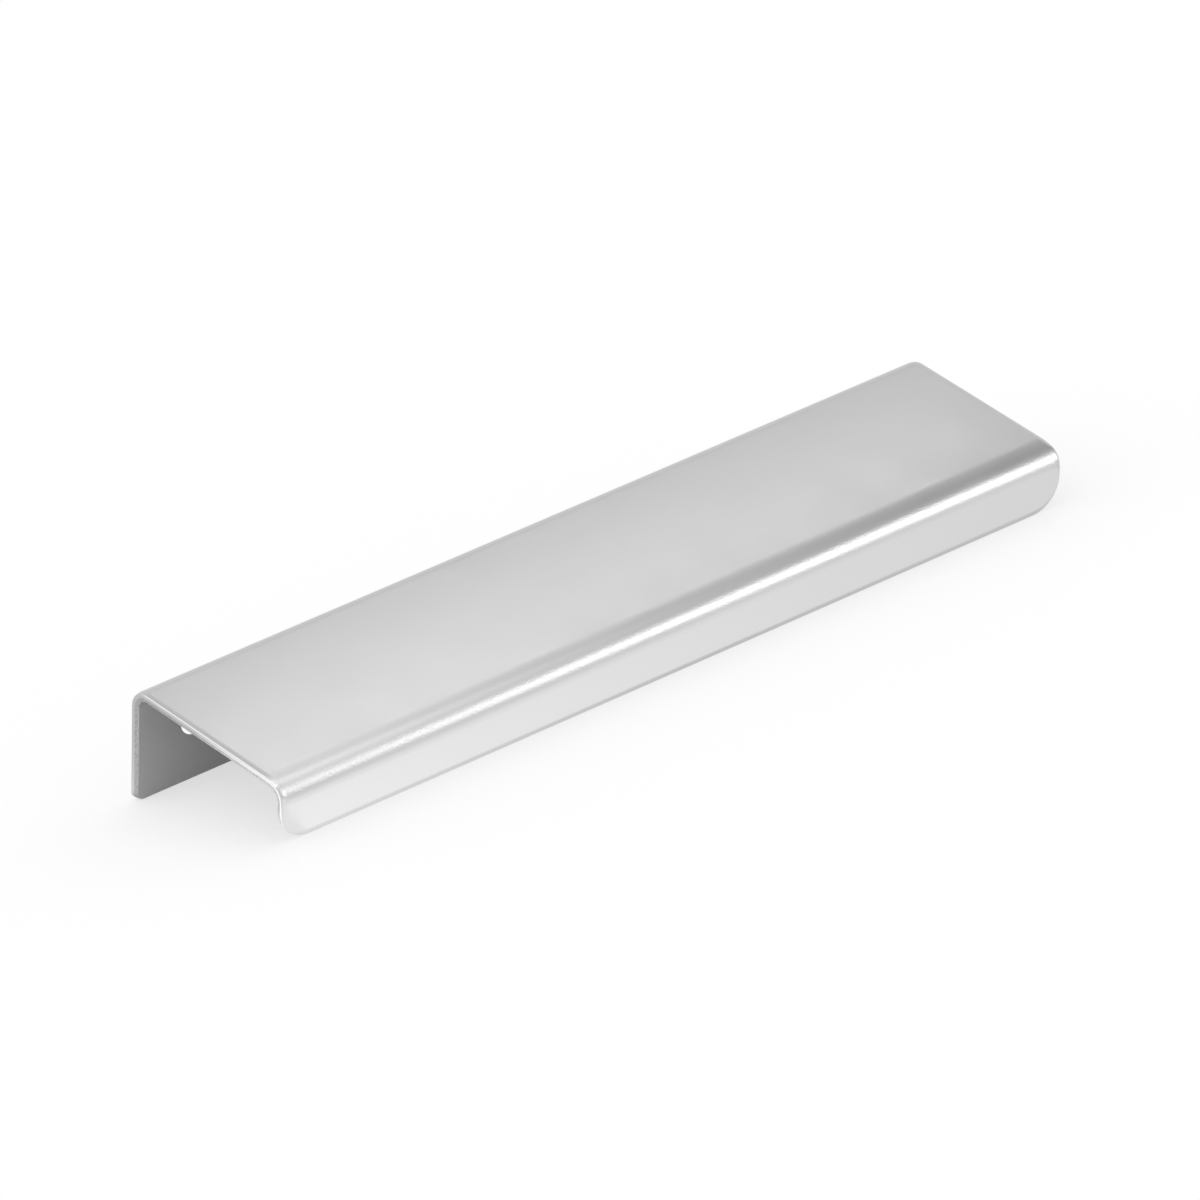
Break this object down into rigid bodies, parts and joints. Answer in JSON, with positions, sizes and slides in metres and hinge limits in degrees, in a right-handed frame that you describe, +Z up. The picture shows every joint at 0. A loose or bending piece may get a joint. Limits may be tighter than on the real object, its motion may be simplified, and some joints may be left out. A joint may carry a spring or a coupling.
{
  "type": "lip pull handle",
  "caption": "Lip pull for a door or drawer front: one bent steel sheet with a countersunk screw flange, a flat plate over the edge and a short rounded finger lip.",
  "frame": {"origin": "on the floor, under the centre of the bounding box, with the handle at rest on its flange and lip edges", "axes": "+X along the handle, -Y to the front where the finger lip is, +Z up"},
  "size_m": [0.15, 0.038, 0.0183],
  "materials": {
    "satin_steel": "satin, very fine bead-blasted grain"
  },
  "bodies": {
    "root": {"lip_pull": "satin_steel"}
  },
  "joints": []
}
